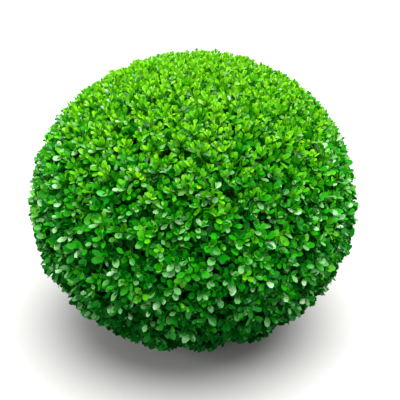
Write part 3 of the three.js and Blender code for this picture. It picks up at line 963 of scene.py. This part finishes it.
def matt_floor(floor_colour):
    """Painted board: a sprayed matt paint, which gives the eye one soft even tone. Its grain is under 1 mm in
    life, and drawn at 4 mm, so it shows faintly."""
    return even_material("matt_painted_board", FLOOR_GRAIN, {
        "Base Color": (*floor_colour, 1.0), "Roughness": 0.8,
    })


def split_bark(colours):
    """Old box bark: thin cork that split lengthwise into small plates as the limb grew. It gives the eye a
    dry, matt buff with darker splits, plates that differ a little in tone every 9 mm or so, and a grit of
    about 1 mm."""
    material = new_material("box_bark")
    tree = material.node_tree
    place = add_node(tree, "ShaderNodeTexCoord")
    depth = add_node(tree, "ShaderNodeAttribute", settings={"attribute_name": "split"})
    tone = add_node(tree, "ShaderNodeTexNoise", inputs={
        "Vector": place.outputs["Object"], "Scale": 1 / PLATE_TONES["spacing"],
        "Detail": PLATE_TONES["detail"],
    })
    plate = add_node(tree, "ShaderNodeMix", settings={"data_type": "RGBA"}, inputs={
        "Factor": tone.outputs["Fac"],
        "A": (*[part * PLATE_TONES["darkest"] for part in colours.bark], 1.0),
        "B": (*[min(1, part * PLATE_TONES["lightest"]) for part in colours.bark], 1.0),
    })
    whole = add_node(tree, "ShaderNodeMix", settings={"data_type": "RGBA"}, inputs={
        "Factor": depth.outputs["Fac"], "A": plate.outputs["Result"], "B": (*colours.split, 1.0),
    })
    add_surface(tree, place, BARK_GRIT, {
        "Base Color": whole.outputs["Result"], "Roughness": 0.9, "IOR": WOOD_IOR,
    })
    return material


# The bark

def remeshed(mesh, spacing):
    """One closed skin round all the limbs of a mesh, with evenly spaced vertices."""
    shell = add_object("limbs", mesh)
    remesh = shell.modifiers.new("one skin", "REMESH")
    remesh.mode = "VOXEL"
    remesh.voxel_size = spacing
    remesh.use_smooth_shade = True
    whole = shell.evaluated_get(bpy.context.evaluated_depsgraph_get())
    skinned = bpy.data.meshes.new_from_object(whole)
    bpy.data.objects.remove(shell)
    return skinned


def per_vertex(mesh, name):
    """One vector for each vertex of a mesh, such as its place or its normal."""
    values = np.empty(len(mesh.vertices) * 3, np.float32)
    mesh.vertices.foreach_get(name, values)
    return values.reshape(-1, 3)


def split_depths(points, lines):
    """How deep in a split of the bark each point lies, 0 to 1. The splits run along the nearest limb."""
    samples = lines.reshape(-1, 3)
    along = unit(np.gradient(lines, axis=1)).reshape(-1, 3)
    steps = np.linalg.norm(np.diff(lines, axis=1, prepend=lines[:, :1]), axis=-1)
    run = np.cumsum(steps, axis=1).reshape(-1)
    near = nearest(points, samples)
    away = points - samples[near]
    up_limb = dot(away, along[near])
    across = (away - up_limb * along[near]) / PLATE_WIDTH
    length_along = (run[near][:, None] + up_limb) / PLATE_LENGTH
    depths = np.empty(len(points))
    for i, (place, level) in enumerate(zip(across, length_along)):
        where = Vector((place[0], place[1] + level[0] * PLATE_SLANT, place[2] + level[0]))
        gaps = noise.voronoi(where)[0]
        wander = SPLIT_WANDER * noise.noise(where * WANDERS_PER_PLATE)
        depths[i] = 1 - min(1, max(0, (gaps[1] - gaps[0] + wander) / SPLIT_WIDTH))
    return depths


def bark_mesh(ball, limbs):
    """The trunk and boughs as one skin with the bark's relief, and how deep each vertex lies in a split."""
    lines, radii = limb_lines(ball, limbs)
    boughs = rings_round(lines[1:], radii[1:], BOUGH_SIDES)
    plain = mesh_of("bark_limbs", *joined([skin(trunk_rings(limbs)[None]), skin(boughs)]))
    skinned = remeshed(plain, limbs.grain)
    places = per_vertex(skinned, "co").astype(float)
    depths = split_depths(places, lines)
    girth = radii.reshape(-1)[nearest(places, lines.reshape(-1, 3))]
    depth = limbs.fissure * np.clip(girth / limbs.trunk_radius, THIN_LIMB_SPLITS, 1) * depths
    places -= per_vertex(skinned, "normal") * depth[:, None]
    places[:, 2] = np.maximum(places[:, 2], 0)
    skinned.vertices.foreach_set("co", places.astype(np.float32).ravel())
    skinned.attributes.new("split", "FLOAT", "POINT").data.foreach_set("value", depths.astype(np.float32))
    skinned.update()
    return skinned


# The studio

def aim(thing, place, ahead):
    """Puts a lamp or the camera in its place, and turns it to look ahead."""
    thing.location = place
    thing.rotation_euler = ahead.to_track_quat("-Z", "Y").to_euler()


def add_floor(stage):
    """A wide pale floor that sweeps up far behind."""
    turn = angles_round(FLOOR_SIDES)
    sweep = np.linspace(0, 1, FLOOR_RINGS)[:, None]
    radius = mix(stage.flat_floor, stage.wide_floor, sweep)
    height = np.broadcast_to(stage.floor_rise * sweep ** 2 - FLOOR_GAP, (FLOOR_RINGS, FLOOR_SIDES))
    rings = np.stack([radius * np.cos(turn), radius * np.sin(turn), height], axis=-1)
    vertices, triangles, quads = skin(rings[None])
    mesh = mesh_of("floor", vertices, triangles[:FLOOR_SIDES], quads)
    mesh.materials.append(matt_floor(stage.floor))
    add_object("floor", mesh)


def add_lights(stage, middle):
    """Three soft lamps round the ball and one wide far light above it."""
    for name, (place, width, power) in LAMPS.items():
        lamp = bpy.data.lights.new(name, "AREA")
        lamp.shape = "DISK"
        lamp.size = width
        lamp.energy = stage.fill * power
        aim(add_object(name, lamp), place, middle - Vector(place))
    key = bpy.data.lights.new("key_light", "SUN")
    key.energy = stage.key
    key.angle = stage.key_width
    aim(add_object("key_light", key), KEY_PLACE, middle - Vector(KEY_PLACE))


def add_air(stage):
    """Even light from all round, in front of a plain white backdrop."""
    world = bpy.data.worlds.new("studio_air")
    world.use_nodes = True
    tree = world.node_tree
    backdrop = tree.nodes["Background"]
    backdrop.inputs["Color"].default_value = WHITE
    path = add_node(tree, "ShaderNodeLightPath")
    strength = add_node(tree, "ShaderNodeMix", settings={"data_type": "FLOAT"}, inputs={
        "Factor": path.outputs["Is Camera Ray"], "A": stage.air, "B": 1.0,
    })
    tree.links.new(strength.outputs["Result"], backdrop.inputs["Strength"])
    bpy.context.scene.world = world


def add_camera(stage, middle):
    data = bpy.data.cameras.new("camera")
    data.sensor_fit = "AUTO"
    data.angle = 2 * math.atan(stage.half_view)
    ahead = Vector((0, math.cos(stage.elevation), -math.sin(stage.elevation)))
    right = Vector((1, 0, 0))
    above = right.cross(ahead)
    camera = add_object("camera", data)
    aim(camera, middle - ahead * stage.distance, ahead + right * stage.sideways + above * stage.upwards)
    bpy.context.scene.camera = camera


# The operators

class TOPIARY_OT_grow_limbs(bpy.types.Operator):
    """Grow the trunk and boughs, with the bark's relief"""

    bl_idname = "topiary.grow_limbs"
    bl_label = "Grow limbs"

    def execute(self, context):
        settings = context.scene.topiary
        mesh = bark_mesh(settings.ball, settings.limbs)
        add_piece("bark_limbs", mesh, split_bark(settings.colours), LIMB_NODES)
        return {"FINISHED"}


class TOPIARY_OT_grow_twigs(bpy.types.Operator):
    """Grow the brown twigs from the boughs' tips, and the green stems of the shoots"""

    bl_idname = "topiary.grow_twigs"
    bl_label = "Grow twigs"

    def execute(self, context):
        settings = context.scene.topiary
        limbs, twigs, colours = settings.limbs, settings.twigs, settings.colours
        stubs, inner, branchlets, tuft_twigs = all_twigs(settings.ball, limbs, twigs)
        shoots, _, _ = leafy_shoots(settings, tuft_twigs)
        brown = [
            (stubs, limbs.tip_radius, STUB_FORM),
            (inner, twigs.inner_radius, INNER["form"]),
            (branchlets, twigs.branchlet_radius, BRANCHLETS["form"]),
            (tuft_twigs, twigs.tuft_radius, TUFTS["form"]),
        ]
        green = [(shoots, twigs.shoot_radius, SHOOT_FORM)]
        add_twigs("brown_twigs", brown, smooth_twig("box_twig", colours.twig, 0.75))
        add_twigs("green_stems", green, smooth_twig("green_box_stem", colours.stem, 0.5))
        return {"FINISHED"}


class TOPIARY_OT_grow_leaves(bpy.types.Operator):
    """Grow the leaves of every shoot, and the older leaves behind them"""

    bl_idname = "topiary.grow_leaves"
    bl_label = "Grow leaves"

    def execute(self, context):
        settings = context.scene.topiary
        _, inner, branchlets, tuft_twigs = all_twigs(settings.ball, settings.limbs, settings.twigs)
        _, points, shoots = leafy_shoots(settings, tuft_twigs)
        tones = leaf_tones(settings, shoots, points).reshape(-1)
        points = points.reshape(-1, *points.shape[-2:])
        orders = ((tuft_twigs, OLD_ON_TUFTS), (branchlets, OLD_ON_BRANCHLETS), (inner, OLD_ON_INNER))
        for twigs, order in orders:
            old = old_leaves(settings.leaves, twigs, **order)
            points = np.concatenate([points, old])
            # Old leaves are painted lighter the higher they stand: painted light and shade
            tones = np.concatenate([tones, np.digitize(old[:, 0, 2], OLD_PAINTED_LIGHT_HEIGHTS)])
        clear = points[..., 2].min(axis=1) >= settings.ball.skirt
        # The pale pieces carry the painted sheen of the sky's reflection
        for tone, (name, (leaf_colour, roughness, gloss)) in enumerate(LEAF_FINISHES.items()):
            material = waxed_leaf(f"{name}_leaf", getattr(settings.colours, leaf_colour), roughness, gloss)
            add_leaves(f"leaves_{name}", points[clear & (tones == tone)], material)
        return {"FINISHED"}


class TOPIARY_OT_set_stage(bpy.types.Operator):
    """Set up the pale floor, the soft lights and the camera"""

    bl_idname = "topiary.set_stage"
    bl_label = "Set stage"

    def execute(self, context):
        settings = context.scene.topiary
        middle = Vector(centre(settings.ball))
        add_floor(settings.stage)
        add_lights(settings.stage, middle)
        add_air(settings.stage)
        add_camera(settings.stage, middle)
        context.scene.view_settings.view_transform = "Standard"
        return {"FINISHED"}


class TOPIARY_PT_sidebar(bpy.types.Panel):
    """The topiary tools"""

    bl_idname = "TOPIARY_PT_sidebar"
    bl_label = "Topiary"
    bl_space_type = "VIEW_3D"
    bl_region_type = "UI"
    bl_category = "Topiary"

    def draw(self, context):
        for operator in OPERATORS:
            self.layout.operator(operator.bl_idname)
        for group in ("ball", "limbs", "twigs", "leaves", "colours", "stage"):
            settings = getattr(context.scene.topiary, group)
            box = self.layout.box()
            box.label(text=group.capitalize())
            for name in settings.__annotations__:
                box.prop(settings, name)


OPERATORS = (TOPIARY_OT_grow_limbs, TOPIARY_OT_grow_twigs, TOPIARY_OT_grow_leaves, TOPIARY_OT_set_stage)
SETTINGS = (BallSettings, LimbSettings, TwigSettings, LeafSettings, ColourSettings, StageSettings)
CLASSES = (*SETTINGS, TopiarySettings, *OPERATORS, TOPIARY_PT_sidebar)


def register():
    for cls in CLASSES:
        bpy.utils.register_class(cls)
    bpy.types.Scene.topiary = PointerProperty(type=TopiarySettings)


def unregister():
    del bpy.types.Scene.topiary
    for cls in reversed(CLASSES):
        bpy.utils.unregister_class(cls)


def main():
    register()
    bpy.ops.topiary.grow_limbs()
    bpy.ops.topiary.grow_twigs()
    bpy.ops.topiary.grow_leaves()
    bpy.ops.topiary.set_stage()


if __name__ == "__main__":
    main()
